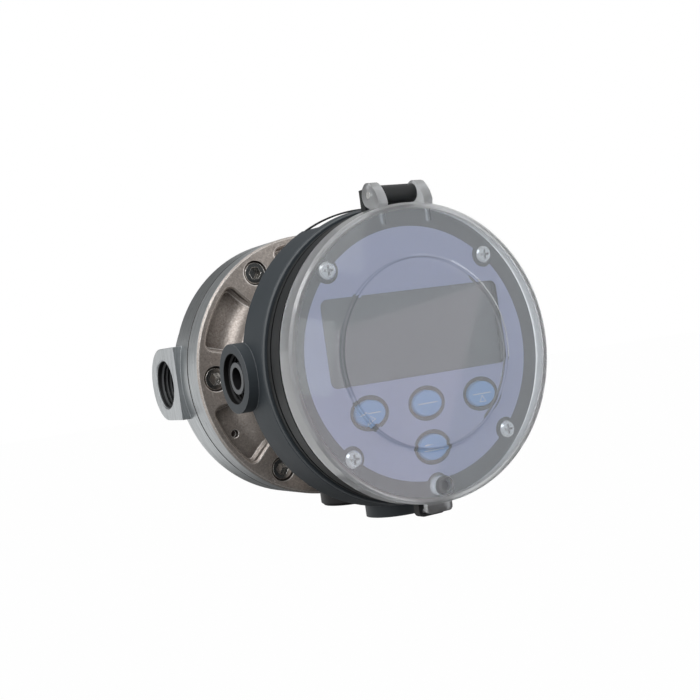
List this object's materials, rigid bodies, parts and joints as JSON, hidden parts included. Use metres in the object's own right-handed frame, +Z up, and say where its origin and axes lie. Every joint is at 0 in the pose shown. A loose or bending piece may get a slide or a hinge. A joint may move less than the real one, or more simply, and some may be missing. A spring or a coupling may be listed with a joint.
{
  "type": "oval gear flow meter",
  "caption": "Oval gear flow meter with threaded pipe ports, a bolted cap with a hub, and a round digital display under a hinged clear lid.",
  "frame": {"origin": "centre of the flat rear face of the base, on the axis of the round body", "axes": "+X along the pipe from inlet to outlet, -Y towards the reader of the display, +Z up"},
  "size_m": [0.1254, 0.1489, 0.1322],
  "materials": {
    "cast_body": "machined casting",
    "cap_casting": "blasted casting with machined rim",
    "stainless": "polished",
    "rotor_polymer": "moulded",
    "bush_carbon": "ground",
    "magnet": "plated",
    "black_rubber": "matte",
    "housing_plastic": "fine spark texture",
    "black_plastic": "satin",
    "hoop_plastic": "satin",
    "clear_plastic": "clear",
    "label_film": "satin print",
    "key_plastic": "satin",
    "lcd_frame": "display glass in a frame",
    "circuit_board": "laminate",
    "terminal_plastic": "moulded",
    "gland_polymer": "moulded",
    "cell_jacket": "wrapped"
  },
  "bodies": {
    "meter": {"battery_cells": "cell_jacket", "battery_holder": "black_plastic", "bezel": "black_plastic", "bezel_gasket": "black_rubber", "bezel_screws": "stainless", "board_screws": "stainless", "body_seal": "black_rubber", "bottom_cable_gland": "gland_polymer", "cap_screws": "stainless", "conduit_plug": "black_plastic", "display_board": "circuit_board", "display_housing": "housing_plastic", "dowel_pins": "stainless", "face_label": "label_film", "hinge_pin": "stainless", "housing_screws": "stainless", "hub_gasket": "black_rubber", "key_switches": "black_plastic", "lcd_module": "lcd_frame", "left_cable_gland": "gland_polymer", "lower_gear_shaft": "stainless", "meter_base": "cast_body", "meter_cap": "cap_casting", "pulse_sensor_board": "circuit_board", "sensor_board_screws": "stainless", "terminal_block": "terminal_plastic", "top_hoop": "hoop_plastic", "upper_gear_shaft": "stainless", "window_pane": "clear_plastic"},
    "lid_body": {"lid": "clear_plastic"},
    "left_button": {"left_key": "key_plastic"},
    "centre_button": {"centre_key": "key_plastic"},
    "right_button": {"right_key": "key_plastic"},
    "lower_button": {"lower_key": "key_plastic"},
    "upper_rotor": {"upper_oval_gear": "rotor_polymer", "upper_gear_bush": "bush_carbon", "gear_magnets": "magnet"},
    "lower_rotor": {"lower_oval_gear": "rotor_polymer", "lower_gear_bush": "bush_carbon"}
  },
  "joints": [
    {"name": "lid_hinge", "type": "hinge", "parent": "meter", "child": "lid_body", "pos_m": [0, -0.1395, 0.063], "axis": [-1, 0, 0], "range_deg": [0, 120]},
    {"name": "left_press", "type": "slide", "parent": "meter", "child": "left_button", "axis": [0, 1, 0], "range_m": [0, 0.0006], "stiffness_N_per_m": 1500},
    {"name": "centre_press", "type": "slide", "parent": "meter", "child": "centre_button", "axis": [0, 1, 0], "range_m": [0, 0.0006], "stiffness_N_per_m": 1500},
    {"name": "right_press", "type": "slide", "parent": "meter", "child": "right_button", "axis": [0, 1, 0], "range_m": [0, 0.0006], "stiffness_N_per_m": 1500},
    {"name": "lower_press", "type": "slide", "parent": "meter", "child": "lower_button", "axis": [0, 1, 0], "range_m": [0, 0.0006], "stiffness_N_per_m": 1500},
    {"name": "upper_rotor_spin", "type": "hinge", "parent": "meter", "child": "upper_rotor", "pos_m": [0, -0.029, 0.0175], "axis": [0, 1, 0], "continuous": true},
    {"name": "lower_rotor_spin", "type": "hinge", "parent": "meter", "child": "lower_rotor", "pos_m": [0, -0.029, -0.0175], "axis": [0, 1, 0], "continuous": true}
  ],
  "couplings": [
    {"joint": "lower_rotor_spin", "follows": "upper_rotor_spin", "ratio": -1}
  ]
}
